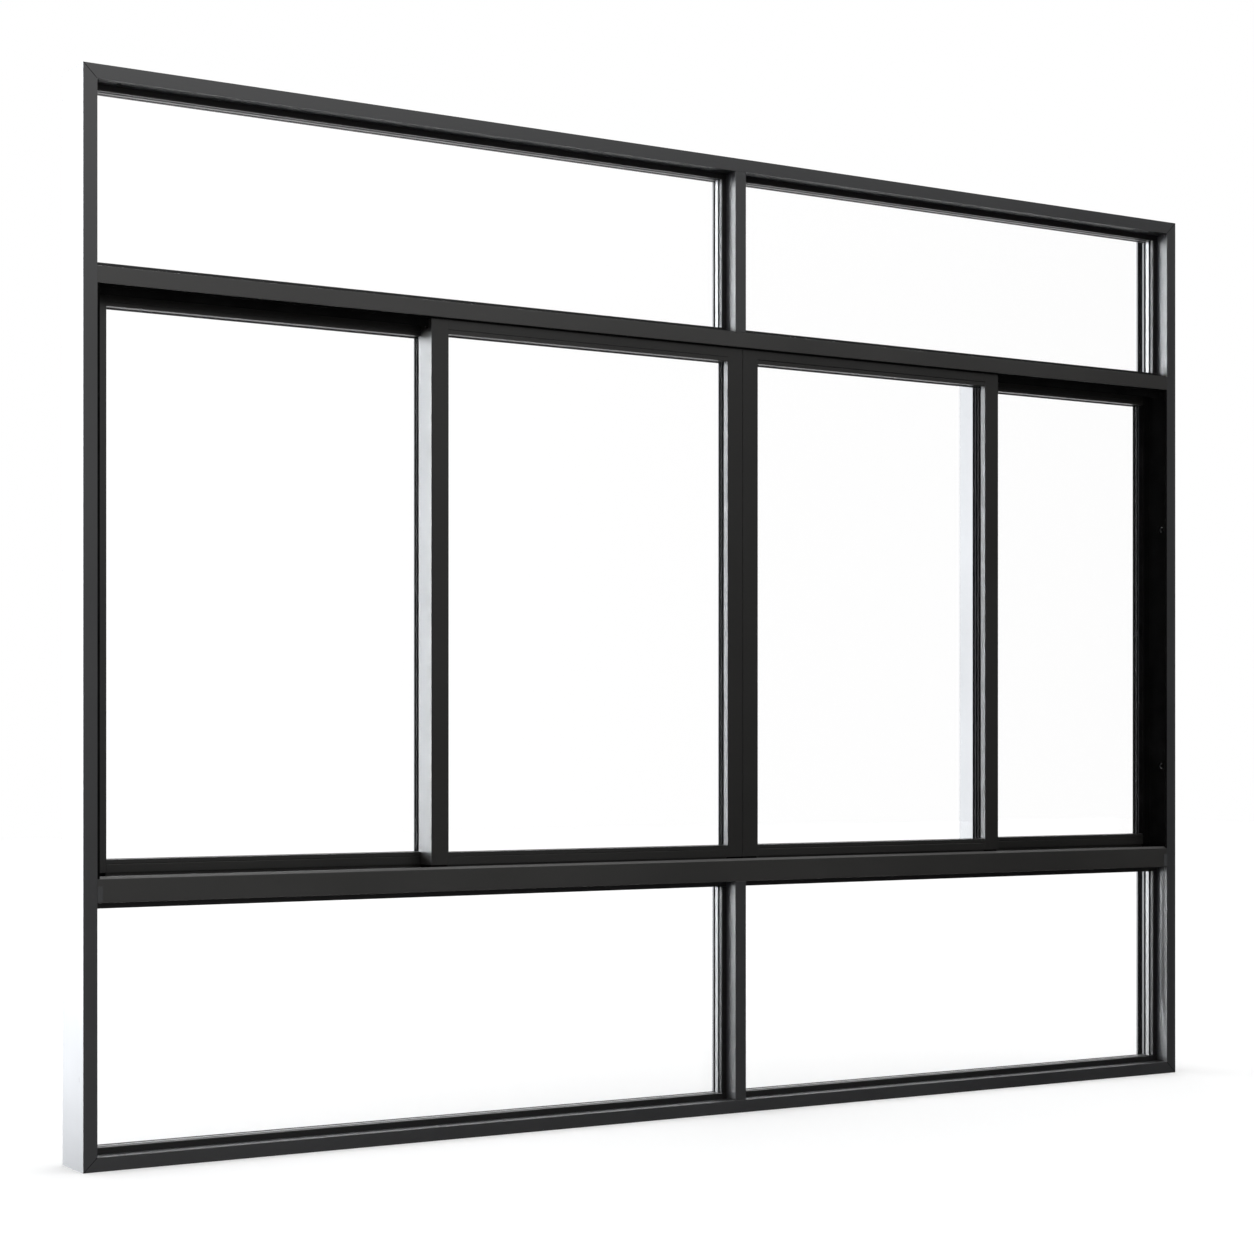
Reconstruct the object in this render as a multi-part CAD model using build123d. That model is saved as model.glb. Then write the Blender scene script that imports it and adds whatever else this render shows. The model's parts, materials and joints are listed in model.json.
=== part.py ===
from build123d import *
import os

# Black aluminium sliding window: two fixed lights over and two under a four-sash
# sliding band. Millimetres. While drawing, x runs from the left outer edge, d is
# the depth behind the front face and z is the height above the sill's underside.
# Each piece is moved at the end, so that the origin is the middle of the
# underside, with the front face towards -Y.

# Overall size
FRAME_WIDTH = 2400.0
FRAME_HEIGHT = 1800.0

# Layout
MULLION_X = 1286.5            # centre line of both mullions
MEETING_X = 1296.5            # where the two front sashes meet
UPPER_TRANSOM_BOTTOM = 1445.0
UPPER_TRANSOM_HEIGHT = 28.0
LOWER_TRANSOM_BOTTOM = 437.0
LOWER_TRANSOM_HEIGHT = 43.0
LEFT_FRONT_SASH_WIDTH = 660.0
RIGHT_FRONT_SASH_WIDTH = 624.0
MEETING_GAP = 1.0
INTERLOCK_OVERLAP = 38.0
LEFT_SASH_INSET = 24.0        # outer edge of the frame to the left rear sash
RIGHT_SASH_INSET = 9.0        # the right rear sash stands home in its channel

# Outer frame extrusion: a hollow front chamber, a web behind it, a rear flange
FACE = 24.0
CHAMBER_DEPTH = 30.0
WALL = 2.0
WEB = 4.0
REAR_FLANGE_WIDTH = 20.0
REAR_FLANGE = 4.0

# Mullion
MULLION_STEM = 8.0
MULLION_FLANGE = 4.0

# Fixed glazing, set behind the front chamber
BEAD_WIDTH = 11.0
BEAD_DEPTH = 8.0
BEAD_WALL = 1.5
BEAD_EDGE = 1.5               # rounding of the edge that faces the room and the glass
LEG_DEPTH = 5.0               # rear leg that the glass stands against
GASKET = 2.0
PANE = 5.0
FIXED_PANE_GAP = 9.0
GLASS_EDGE_COVER = 8.0        # how far the glass runs under the bead

# Transoms and their tracks
TRANSOM_REAR_GAP = 4.0        # clear of the rear flange
TRANSOM_STEP = 8.0            # the transom is thinner where the glazing sits
TRANSOM_WALL = 2.5
TRACK_FLOOR_DROP = 14.0       # track floor under the lower transom's front lip
LIP = 5.0
LIP_CHAMFER = 4.0
REAR_LIP = 4.0
REAR_LIP_REACH = 12.0
RAIL_WIDTH = 4.0
RAIL_HEIGHT = 12.0
RAIL_ROUNDING = 1.2
FIN_WIDTH = 3.0
FIN_REACH = 14.0

# Sashes
FRONT_SASH_DEPTH = 8.0        # front face of the front pair behind the frame's
SASH_THICKNESS = 35.0
SASH_GAP = 9.0                # between the front and rear pairs
SASH_TO_FRAME_BACK = 13.0     # from the rear pair to the frame's back face
STILE = 34.0
TOP_RAIL_HEIGHT = 25.5
BOTTOM_RAIL_HEIGHT = 22.0
SASH_TOP_GAP = 2.0
SASH_BOTTOM_GAP = 3.0
SASH_WALL = 2.0
SASH_REVEAL = 13.0            # front face to the front gasket
SASH_PANE_GAP = 6.0
SASH_GROOVE = 8.0
SASH_GLASS_COVER = 6.0
SEAM = 1.2                    # line between the rail and its snap-in bead
SEAM_OFFSET = 7.0
TOP_GROOVE_WIDTH = 10.0
TOP_GROOVE_DEPTH = 16.0
SKIRT = 3.0
SKIRT_INSET = 4.0
SKIRT_DROP = 13.0
CARRIAGE_CHANNEL_DEPTH = 13.5
HOOK = 2.0
HOOK_CLEARANCE = 2.0
HOOK_OVERLAP = 6.0
TONGUE_WIDTH = 6.0
TONGUE_REACH = 5.0
TONGUE_CLEARANCE = 1.0

# Track jambs that close the sliding band at both sides
PLATE = 4.0                   # shows as a narrow strip beside the outer jamb
JAMB_WALL = 3.0
CHANNEL_CLEARANCE = 1.5
TRACK_END_GAP = 0.5

# Rollers
ROLLER_RADIUS = 7.5           # at the bottom of the groove that rides on the rail
FLANGE_RADIUS = 9.3
ROLLER_WIDTH = 8.0
ROLLER_GROOVE = 4.8
AXLE_RADIUS = 2.0
AXLE_CLEARANCE = 0.05
CARRIAGE_LENGTH = 48.0
CARRIAGE_ROUNDING = 3.0
CARRIAGE_WIDTH = 18.0
CARRIAGE_HEIGHT = 14.0
CARRIAGE_INSET = 90.0         # from the sash's edge to the carriage's middle
WHEEL_POCKET = 22.0
WHEEL_SIDE_GAP = 0.5

# Fixing holes through the front chamber
ANCHOR_RADIUS = 4.5
ANCHOR_DEPTH = 15.0
HEAD_ANCHOR_INSET = 66.0
JAMB_ANCHOR_INSET = 150.0
ANCHORS_PER_SIDE = 4
DRIVER_HOLE_RADIUS = 7.0      # clearance hole in the track jamb's plate

# Places worked out from the sizes
UPPER_TRANSOM_TOP = UPPER_TRANSOM_BOTTOM + UPPER_TRANSOM_HEIGHT
LOWER_TRANSOM_TOP = LOWER_TRANSOM_BOTTOM + LOWER_TRANSOM_HEIGHT
TRACK_FLOOR = LOWER_TRANSOM_TOP - TRACK_FLOOR_DROP
REAR_SASH_DEPTH = FRONT_SASH_DEPTH + SASH_THICKNESS + SASH_GAP
FRAME_DEPTH = REAR_SASH_DEPTH + SASH_THICKNESS + SASH_TO_FRAME_BACK
TRANSOM_REAR = FRAME_DEPTH - REAR_FLANGE - TRANSOM_REAR_GAP
SASH_TOP = UPPER_TRANSOM_BOTTOM - SASH_TOP_GAP
SASH_BOTTOM = LOWER_TRANSOM_TOP + SASH_BOTTOM_GAP
SIGHT_TOP = SASH_TOP - TOP_RAIL_HEIGHT
SIGHT_BOTTOM = SASH_BOTTOM + BOTTOM_RAIL_HEIGHT
RAIL_TOP = TRACK_FLOOR + RAIL_HEIGHT
GLAZING_FRONT = CHAMBER_DEPTH
FIXED_GLASS_FRONT = GLAZING_FRONT + BEAD_DEPTH + GASKET
FIXED_GLASS_BACK = FIXED_GLASS_FRONT + PANE + FIXED_PANE_GAP + PANE
LEG_FRONT = FIXED_GLASS_BACK + GASKET
GLAZING_BACK = LEG_FRONT + LEG_DEPTH
SASH_GLASS_START = SASH_REVEAL + GASKET
SASH_GLASS_END = SASH_GLASS_START + PANE + SASH_PANE_GAP + PANE
CHANNEL_FRONT = REAR_SASH_DEPTH - CHANNEL_CLEARANCE - JAMB_WALL
CHANNEL_BACK = REAR_SASH_DEPTH + SASH_THICKNESS + CHANNEL_CLEARANCE + JAMB_WALL
PLATE_EDGE = FACE + PLATE
TO_ORIGIN = Location((-FRAME_WIDTH / 2, -FRAME_DEPTH / 2, 0))


def counter_clockwise(points):
    """The same outline, turned so that its face looks along the bar."""
    area = sum(a[0] * b[1] - b[0] * a[1] for a, b in zip(points, points[1:] + points[:1]))
    return points if area > 0 else points[::-1]


def section(outline, hollows=()):
    face = Polygon(*counter_clockwise(list(outline)))
    for hollow in hollows:
        face -= Polygon(*counter_clockwise(list(hollow)))
    return face


def rectangle(u0, u1, v0, v1):
    return [(u0, v0), (u1, v0), (u1, v1), (u0, v1)]


def bar_along_x(outline, x0, x1, hollows=()):
    """A bar from x0 to x1, its outline given as (d, z)."""
    return extrude(Plane.YZ.offset(x0) * section(outline, hollows), amount=x1 - x0)


def bar_along_z(outline, z0, z1, hollows=()):
    """A bar from z0 to z1, its outline given as (x, d)."""
    return extrude(Plane.XY.offset(z0) * section(outline, hollows), amount=z1 - z0)


def plate_xz(outline, d0, d1, holes=()):
    """A flat shape from depth d0 to d1, its outline given as (x, z)."""
    return extrude(Plane.XZ.offset(-d1) * section(outline, holes), amount=d1 - d0)


def block(x0, x1, d0, d1, z0, z1):
    return bar_along_z(rectangle(x0, x1, d0, d1), z0, z1)


def ring(x0, x1, z0, z1, width, d0, d1):
    """A flat frame around the inside of a rectangle."""
    inner = rectangle(x0 + width, x1 - width, z0 + width, z1 - width)
    return plate_xz(rectangle(x0, x1, z0, z1), d0, d1, [inner])


def upright_hole(x, d, z0, z1, radius):
    return Pos(x, d, (z0 + z1) / 2) * Cylinder(radius, z1 - z0)


def cross_hole(x0, x1, d, z, radius):
    return Pos((x0 + x1) / 2, d, z) * Rot(0, 90, 0) * Cylinder(radius, x1 - x0)


def evenly(first, last, count):
    return [first + (last - first) * i / (count - 1) for i in range(count)]


# Outer frame

def outer_outline():
    """Outline of the frame extrusion as (distance in from the outer edge, d)."""
    return [(0, 0), (FACE, 0), (FACE, CHAMBER_DEPTH), (WEB, CHAMBER_DEPTH),
            (WEB, FRAME_DEPTH - REAR_FLANGE), (REAR_FLANGE_WIDTH, FRAME_DEPTH - REAR_FLANGE),
            (REAR_FLANGE_WIDTH, FRAME_DEPTH), (0, FRAME_DEPTH)]


def outer_chamber():
    return rectangle(WALL, FACE - WALL, WALL, CHAMBER_DEPTH - WALL)


def frame_rail(top):
    """The head or the sill, with mitred ends."""
    def place(points):
        return [(d, FRAME_HEIGHT - u if top else u) for u, d in points]
    bar = bar_along_x(place(outer_outline()), 0, FRAME_WIDTH, [place(outer_chamber())])
    edge, inner = (FRAME_HEIGHT, FRAME_HEIGHT - FACE) if top else (0, FACE)
    mitre = [(0, edge), (FRAME_WIDTH, edge), (FRAME_WIDTH - FACE, inner), (FACE, inner)]
    bar &= plate_xz(mitre, 0, FRAME_DEPTH)
    if top:
        for x in evenly(HEAD_ANCHOR_INSET, FRAME_WIDTH - HEAD_ANCHOR_INSET, ANCHORS_PER_SIDE):
            bar -= upright_hole(x, ANCHOR_DEPTH, FRAME_HEIGHT - FACE, FRAME_HEIGHT, ANCHOR_RADIUS)
    return bar


def jamb_anchor_heights():
    return evenly(JAMB_ANCHOR_INSET, FRAME_HEIGHT - JAMB_ANCHOR_INSET, ANCHORS_PER_SIDE)


def frame_jamb(right):
    def place(points):
        return [(FRAME_WIDTH - u if right else u, d) for u, d in points]
    bar = bar_along_z(place(outer_outline()), 0, FRAME_HEIGHT, [place(outer_chamber())])
    edge, inner = (FRAME_WIDTH, FRAME_WIDTH - FACE) if right else (0, FACE)
    mitre = [(edge, 0), (inner, FACE), (inner, FRAME_HEIGHT - FACE), (edge, FRAME_HEIGHT)]
    bar &= plate_xz(mitre, 0, FRAME_DEPTH)
    for z in jamb_anchor_heights():
        bar -= cross_hole(min(edge, inner), max(edge, inner), ANCHOR_DEPTH, z, ANCHOR_RADIUS)
    return bar


# Transoms, mullions and track jambs

def notch_for_jambs(bar, z0, z1):
    """Cuts the ends back where the outer jambs' front chambers stand."""
    bar -= block(0, FACE, 0, CHAMBER_DEPTH, z0, z1)
    return bar - block(FRAME_WIDTH - FACE, FRAME_WIDTH, 0, CHAMBER_DEPTH, z0, z1)


def clear_rear_lip(bar, z0, z1):
    """Cuts the rear lip back where the track jambs' channels stand."""
    front = TRANSOM_REAR - REAR_LIP
    bar -= block(0, PLATE_EDGE, front, TRANSOM_REAR, z0, z1)
    return bar - block(FRAME_WIDTH - PLATE_EDGE, FRAME_WIDTH, front, TRANSOM_REAR, z0, z1)


def track_centres():
    return [start + SASH_THICKNESS / 2 for start in (FRONT_SASH_DEPTH, REAR_SASH_DEPTH)]


def track_ends():
    """How far in from the outer edge the front and the rear track stop."""
    return [PLATE_EDGE + TRACK_END_GAP, WEB + JAMB_WALL + TRACK_END_GAP]


def track_ribs(width, root, tip):
    """The rails or guide fins, with their free edges rounded."""
    ribs = []
    for centre, end in zip(track_centres(), track_ends()):
        rib = block(end, FRAME_WIDTH - end, centre - width / 2, centre + width / 2,
                    min(root, tip), max(root, tip))
        edges = rib.edges().filter_by(Axis.X).filter_by_position(Axis.Z, tip, tip)
        ribs.append(fillet(edges, min(RAIL_ROUNDING, width * 0.4)))
    return ribs


def upper_transom():
    bottom, top, step = UPPER_TRANSOM_BOTTOM, UPPER_TRANSOM_TOP, UPPER_TRANSOM_TOP - TRANSOM_STEP
    outline = [(0, bottom), (0, top), (CHAMBER_DEPTH, top), (CHAMBER_DEPTH, step),
               (TRANSOM_REAR, step), (TRANSOM_REAR, bottom - REAR_LIP_REACH),
               (TRANSOM_REAR - REAR_LIP, bottom - REAR_LIP_REACH), (TRANSOM_REAR - REAR_LIP, bottom)]
    hollow = rectangle(TRANSOM_WALL, TRANSOM_REAR - TRANSOM_WALL, bottom + TRANSOM_WALL, step - TRANSOM_WALL)
    bar = bar_along_x(outline, WEB, FRAME_WIDTH - WEB, [hollow])
    bar = notch_for_jambs(bar, bottom - REAR_LIP_REACH, top)
    bar = clear_rear_lip(bar, bottom - REAR_LIP_REACH, bottom)
    for rib in track_ribs(FIN_WIDTH, bottom, bottom - FIN_REACH):
        bar += rib
    return bar


def front_lip():
    """The upright lip along the front of the track, chamfered, as (d, z)."""
    top = LOWER_TRANSOM_TOP
    return [(0, TRACK_FLOOR), (LIP, TRACK_FLOOR), (LIP, top), (LIP_CHAMFER, top), (0, top - LIP_CHAMFER)]


def lower_transom():
    bottom, top, step = LOWER_TRANSOM_BOTTOM, LOWER_TRANSOM_TOP, LOWER_TRANSOM_BOTTOM + TRANSOM_STEP
    outline = [(0, bottom), (CHAMBER_DEPTH, bottom), (CHAMBER_DEPTH, step), (TRANSOM_REAR, step),
               (TRANSOM_REAR, top), (TRANSOM_REAR - REAR_LIP, top), (TRANSOM_REAR - REAR_LIP, TRACK_FLOOR),
               *front_lip()[1:]]
    hollow = rectangle(TRANSOM_WALL, TRANSOM_REAR - TRANSOM_WALL, step + TRANSOM_WALL, TRACK_FLOOR - TRANSOM_WALL)
    bar = bar_along_x(outline, WEB, FRAME_WIDTH - WEB, [hollow])
    bar = notch_for_jambs(bar, bottom, top)
    bar = clear_rear_lip(bar, TRACK_FLOOR, top)
    for rib in track_ribs(RAIL_WIDTH, TRACK_FLOOR, RAIL_TOP):
        bar += rib
    return bar


def mullion(z_front, z_rear):
    """Front chamber between the members' faces, stem and flange behind it."""
    left, right = MULLION_X - FACE / 2, MULLION_X + FACE / 2
    chamber = bar_along_z(rectangle(left, right, 0, CHAMBER_DEPTH), *z_front,
                          [rectangle(left + WALL, right - WALL, WALL, CHAMBER_DEPTH - WALL)])
    stem_left, stem_right = MULLION_X - MULLION_STEM / 2, MULLION_X + MULLION_STEM / 2
    flange_back = GLAZING_BACK + MULLION_FLANGE
    tee = [(stem_left, CHAMBER_DEPTH), (stem_right, CHAMBER_DEPTH), (stem_right, GLAZING_BACK),
           (right, GLAZING_BACK), (right, flange_back), (left, flange_back),
           (left, GLAZING_BACK), (stem_left, GLAZING_BACK)]
    return chamber + bar_along_z(tee, *z_rear)


def track_jamb(right):
    """Front plate, and a channel behind it that the rear sash's stile enters."""
    outline = [(PLATE_EDGE, 0), (FACE, 0), (FACE, CHANNEL_FRONT), (WEB, CHANNEL_FRONT),
               (WEB, CHANNEL_BACK), (PLATE_EDGE, CHANNEL_BACK), (PLATE_EDGE, CHANNEL_BACK - JAMB_WALL),
               (WEB + JAMB_WALL, CHANNEL_BACK - JAMB_WALL), (WEB + JAMB_WALL, CHANNEL_FRONT + JAMB_WALL),
               (PLATE_EDGE, CHANNEL_FRONT + JAMB_WALL)]
    if right:
        outline = [(FRAME_WIDTH - x, d) for x, d in outline]
    bar = bar_along_z(outline, TRACK_FLOOR, UPPER_TRANSOM_BOTTOM)
    bar -= bar_along_x(front_lip(), 0, FRAME_WIDTH)
    x0 = FRAME_WIDTH - PLATE_EDGE if right else FACE
    for z in jamb_anchor_heights():
        if LOWER_TRANSOM_TOP < z < UPPER_TRANSOM_BOTTOM:
            bar -= cross_hole(x0, x0 + PLATE, ANCHOR_DEPTH, z, DRIVER_HOLE_RADIUS)
    return bar


# Fixed lights

def fixed_lights():
    """Each light as its opening (x0, x1, z0, z1) and the base widths of its sides."""
    mullion_base = (FACE - MULLION_STEM) / 2
    frame_base = FACE - WEB
    columns = {"left": (FACE, MULLION_X - FACE / 2, frame_base, mullion_base),
               "right": (MULLION_X + FACE / 2, FRAME_WIDTH - FACE, mullion_base, frame_base)}
    rows = {"top": (UPPER_TRANSOM_TOP, FRAME_HEIGHT - FACE, TRANSOM_STEP, frame_base),
            "bottom": (FACE, LOWER_TRANSOM_BOTTOM, frame_base, TRANSOM_STEP)}
    lights = []
    for row, (z0, z1, base_low, base_high) in rows.items():
        for column, (x0, x1, base_left, base_right) in columns.items():
            lights.append({"row": row, "column": column, "x": (x0, x1), "z": (z0, z1),
                           "base_x": (base_left, base_right), "base_z": (base_low, base_high)})
    return lights


def glazing_rail(light, high):
    """Rear glazing bar along the top or bottom: a hollow base with a leg."""
    (x0, x1), edge = light["x"], light["z"][high]
    inward = -1 if high else 1
    base = light["base_z"][high]
    outline = [(GLAZING_FRONT, edge - inward * base), (GLAZING_FRONT, edge), (LEG_FRONT, edge),
               (LEG_FRONT, edge + inward * BEAD_WIDTH), (GLAZING_BACK, edge + inward * BEAD_WIDTH),
               (GLAZING_BACK, edge - inward * base)]
    z_low, z_high = sorted((edge - inward * (base - WALL), edge - inward * WALL))
    hollow = rectangle(GLAZING_FRONT + WALL, GLAZING_BACK - WALL, z_low, z_high)
    bar = bar_along_x(outline, x0 - light["base_x"][0], x1 + light["base_x"][1], [hollow])
    leg_low, leg_high = sorted((edge, edge + inward * BEAD_WIDTH))
    for end in ((x0 - light["base_x"][0], x0), (x1, x1 + light["base_x"][1])):
        bar -= block(*end, LEG_FRONT, GLAZING_BACK, leg_low, leg_high)
    return bar


def glazing_post(light, right):
    """Rear glazing bar along one side, between the two rails."""
    (z0, z1), edge = light["z"], light["x"][right]
    inward = -1 if right else 1
    base = light["base_x"][right]
    x_low, x_high = sorted((edge - inward * base, edge))
    hollow = rectangle(x_low + WALL, x_high - WALL, GLAZING_FRONT + WALL, GLAZING_BACK - WALL)
    bar = bar_along_z(rectangle(x_low, x_high, GLAZING_FRONT, GLAZING_BACK), z0, z1, [hollow])
    leg_low, leg_high = sorted((edge, edge + inward * BEAD_WIDTH))
    return bar + block(leg_low, leg_high, LEG_FRONT, GLAZING_BACK, z0 + BEAD_WIDTH, z1 - BEAD_WIDTH)


def round_bead(bar, along, across, inner):
    """Rounds the bead's edge that faces the room and the glass."""
    edges = bar.edges().filter_by(along).filter_by_position(across, inner, inner)
    return fillet(edges.filter_by_position(Axis.Y, GLAZING_FRONT, GLAZING_FRONT), BEAD_EDGE)


def bead_rail(light, high):
    """Snap-in glazing bead along the top or bottom, hollow."""
    (x0, x1), edge = light["x"], light["z"][high]
    z_low, z_high = sorted((edge, edge - BEAD_WIDTH if high else edge + BEAD_WIDTH))
    back = GLAZING_FRONT + BEAD_DEPTH
    hollow = rectangle(GLAZING_FRONT + BEAD_WALL, back - BEAD_WALL, z_low + BEAD_WALL, z_high - BEAD_WALL)
    bar = bar_along_x(rectangle(GLAZING_FRONT, back, z_low, z_high), x0, x1, [hollow])
    inner = z_low if high else z_high
    return round_bead(bar, Axis.X, Axis.Z, inner)


def bead_post(light, right):
    (z0, z1), edge = light["z"], light["x"][right]
    x_low, x_high = sorted((edge, edge - BEAD_WIDTH if right else edge + BEAD_WIDTH))
    back = GLAZING_FRONT + BEAD_DEPTH
    hollow = rectangle(x_low + BEAD_WALL, x_high - BEAD_WALL, GLAZING_FRONT + BEAD_WALL, back - BEAD_WALL)
    bar = bar_along_z(rectangle(x_low, x_high, GLAZING_FRONT, back), z0 + BEAD_WIDTH, z1 - BEAD_WIDTH, [hollow])
    inner = x_low if right else x_high
    return round_bead(bar, Axis.Z, Axis.X, inner)


def double_glazing(x, z, cover, front, gap):
    """Two panes, the spacer between them and the gaskets, round a sight opening."""
    x0, x1, z0, z1 = x[0] - cover, x[1] + cover, z[0] - cover, z[1] + cover
    second = front + PANE + gap
    back = second + PANE
    panes = [block(x0, x1, front, front + PANE, z0, z1), block(x0, x1, second, back, z0, z1)]
    spacer = ring(x0, x1, z0, z1, cover, front + PANE, second)
    gaskets = [ring(x0, x1, z0, z1, cover, front - GASKET, front),
               ring(x0, x1, z0, z1, cover, back, back + GASKET)]
    return panes, spacer, gaskets


# Sashes

def sashes():
    """The four sashes from left to right, with their edges and side profiles."""
    meet_left, meet_right = MEETING_X - MEETING_GAP / 2, MEETING_X + MEETING_GAP / 2
    left_outer = meet_left - LEFT_FRONT_SASH_WIDTH
    right_outer = meet_right + RIGHT_FRONT_SASH_WIDTH
    return [
        {"name": "sash_1", "x": (LEFT_SASH_INSET, left_outer + INTERLOCK_OVERLAP),
         "d": REAR_SASH_DEPTH, "sides": ("jamb", "interlock")},
        {"name": "sash_2", "x": (left_outer, meet_left),
         "d": FRONT_SASH_DEPTH, "sides": ("interlock", "tongue")},
        {"name": "sash_3", "x": (meet_right, right_outer),
         "d": FRONT_SASH_DEPTH, "sides": ("groove", "interlock")},
        {"name": "sash_4", "x": (right_outer - INTERLOCK_OVERLAP, FRAME_WIDTH - RIGHT_SASH_INSET),
         "d": REAR_SASH_DEPTH, "sides": ("interlock", "jamb")},
    ]


def stile_section(kind, front_pair):
    """Stile outline as (distance in from the sash's edge, depth in the sash)."""
    groove_back = SASH_GLASS_END + GASKET
    outline = [(0, 0), (STILE, 0), (STILE, SASH_REVEAL), (STILE - SASH_GROOVE, SASH_REVEAL),
               (STILE - SASH_GROOVE, groove_back), (STILE, groove_back), (STILE, SASH_THICKNESS),
               (0, SASH_THICKNESS)]
    chamber_start = SASH_WALL
    middle = SASH_THICKNESS / 2
    if kind == "groove":
        reach, half = TONGUE_REACH + TONGUE_CLEARANCE, TONGUE_WIDTH / 2 + TONGUE_CLEARANCE
        outline += [(0, middle + half), (reach, middle + half), (reach, middle - half), (0, middle - half)]
        chamber_start += reach
    if kind == "tongue":
        reach, half = TONGUE_REACH + MEETING_GAP, TONGUE_WIDTH / 2
        outline += [(0, middle + half), (-reach, middle + half), (-reach, middle - half), (0, middle - half)]
    groove_wall = STILE - SASH_GROOVE - SASH_WALL
    chamber = [(chamber_start, SASH_WALL), (STILE - SASH_WALL, SASH_WALL),
               (STILE - SASH_WALL, SASH_REVEAL - SASH_WALL), (groove_wall, SASH_REVEAL - SASH_WALL),
               (groove_wall, SASH_THICKNESS - SASH_WALL), (chamber_start, SASH_THICKNESS - SASH_WALL)]
    face = section(outline, [chamber])
    if kind == "interlock":
        face += section(hook_outline(front_pair))
    return face


def hook_outline(front_pair):
    """The hook by which a front and a rear sash catch each other."""
    reach = SASH_GAP - HOOK_CLEARANCE
    leg = (INTERLOCK_OVERLAP + HOOK_OVERLAP) / 2
    points = [(0, 0), (0, reach), (leg, reach), (leg, reach - HOOK), (HOOK, reach - HOOK), (HOOK, 0)]
    if front_pair:
        return [(u, SASH_THICKNESS + v) for u, v in points]
    return [(u, -v) for u, v in points]


def stile(sash, right):
    face = stile_section(sash["sides"][right], sash["d"] == FRONT_SASH_DEPTH)
    bar = extrude(Plane.XY.offset(SASH_BOTTOM) * face, amount=SASH_TOP - SASH_BOTTOM)
    if right:
        bar = mirror(bar, about=Plane.YZ)
    bar = Pos(sash["x"][right], sash["d"], 0) * bar
    reach = SASH_THICKNESS + SASH_GAP
    fin = track_centres()[sash["d"] == REAR_SASH_DEPTH]
    half = TOP_GROOVE_WIDTH / 2
    low, high = sorted((sash["x"][right], sash["x"][right] + (-STILE if right else STILE)))
    return bar - block(low - reach, high + reach, fin - half, fin + half, SASH_TOP - TOP_GROOVE_DEPTH, SASH_TOP)


def top_rail(sash, x0, x1):
    """Top rail: glass groove below, guide groove above, bead seam in its face."""
    top, bottom, depth = SASH_TOP, SIGHT_TOP, SASH_THICKNESS
    groove_back = SASH_GLASS_END + GASKET
    glass_top = bottom + SASH_GLASS_COVER + TONGUE_CLEARANCE
    middle, half = depth / 2, TOP_GROOVE_WIDTH / 2
    seam = bottom + SEAM_OFFSET
    outline = [(0, bottom), (SASH_REVEAL, bottom), (SASH_REVEAL, glass_top), (groove_back, glass_top),
               (groove_back, bottom), (depth, bottom), (depth, top), (middle + half, top),
               (middle + half, top - TOP_GROOVE_DEPTH), (middle - half, top - TOP_GROOVE_DEPTH),
               (middle - half, top), (0, top), (0, seam + SEAM), (SEAM, seam + SEAM), (SEAM, seam), (0, seam)]
    front_hollow = rectangle(SASH_WALL + SEAM, middle - half - SASH_WALL, bottom + SASH_WALL, top - SASH_WALL)
    rear_hollow = rectangle(middle + half + SASH_WALL, depth - SASH_WALL, glass_top + SASH_WALL, top - SASH_WALL)
    shift = [[(sash["d"] + v, z) for v, z in points] for points in (outline, front_hollow, rear_hollow)]
    return bar_along_x(shift[0], x0, x1, shift[1:])


def bottom_rail(sash, x0, x1):
    """Bottom rail: two skirts straddle the track rail and hold the carriages."""
    top, bottom, depth = SIGHT_BOTTOM, SASH_BOTTOM, SASH_THICKNESS
    groove_back = SASH_GLASS_END + GASKET
    glass_bottom = top - SASH_GLASS_COVER
    skirt_end = bottom - SKIRT_DROP
    inner = SKIRT_INSET + SKIRT
    roof = bottom + CARRIAGE_CHANNEL_DEPTH
    seam = top - SEAM_OFFSET
    outline = [(0, bottom), (SKIRT_INSET, bottom), (SKIRT_INSET, skirt_end), (inner, skirt_end),
               (inner, roof), (depth - inner, roof), (depth - inner, skirt_end),
               (depth - SKIRT_INSET, skirt_end), (depth - SKIRT_INSET, bottom), (depth, bottom),
               (depth, top), (groove_back, top), (groove_back, glass_bottom), (SASH_REVEAL, glass_bottom),
               (SASH_REVEAL, top), (0, top), (0, seam), (SEAM, seam), (SEAM, seam - SEAM), (0, seam - SEAM)]
    return bar_along_x([(sash["d"] + v, z) for v, z in outline], x0, x1)


def roller():
    """A grooved wheel that rides on the track rail, its axis along Z."""
    half, groove, bore = ROLLER_WIDTH / 2, ROLLER_GROOVE / 2, AXLE_RADIUS + AXLE_CLEARANCE
    flare = (half - groove) / 2
    profile = [(bore, -half), (FLANGE_RADIUS, -half), (FLANGE_RADIUS, -groove - flare),
               (ROLLER_RADIUS, -groove), (ROLLER_RADIUS, groove), (FLANGE_RADIUS, groove + flare),
               (FLANGE_RADIUS, half), (bore, half)]
    return revolve(Plane.XZ * section(profile), Axis.Z)


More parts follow.
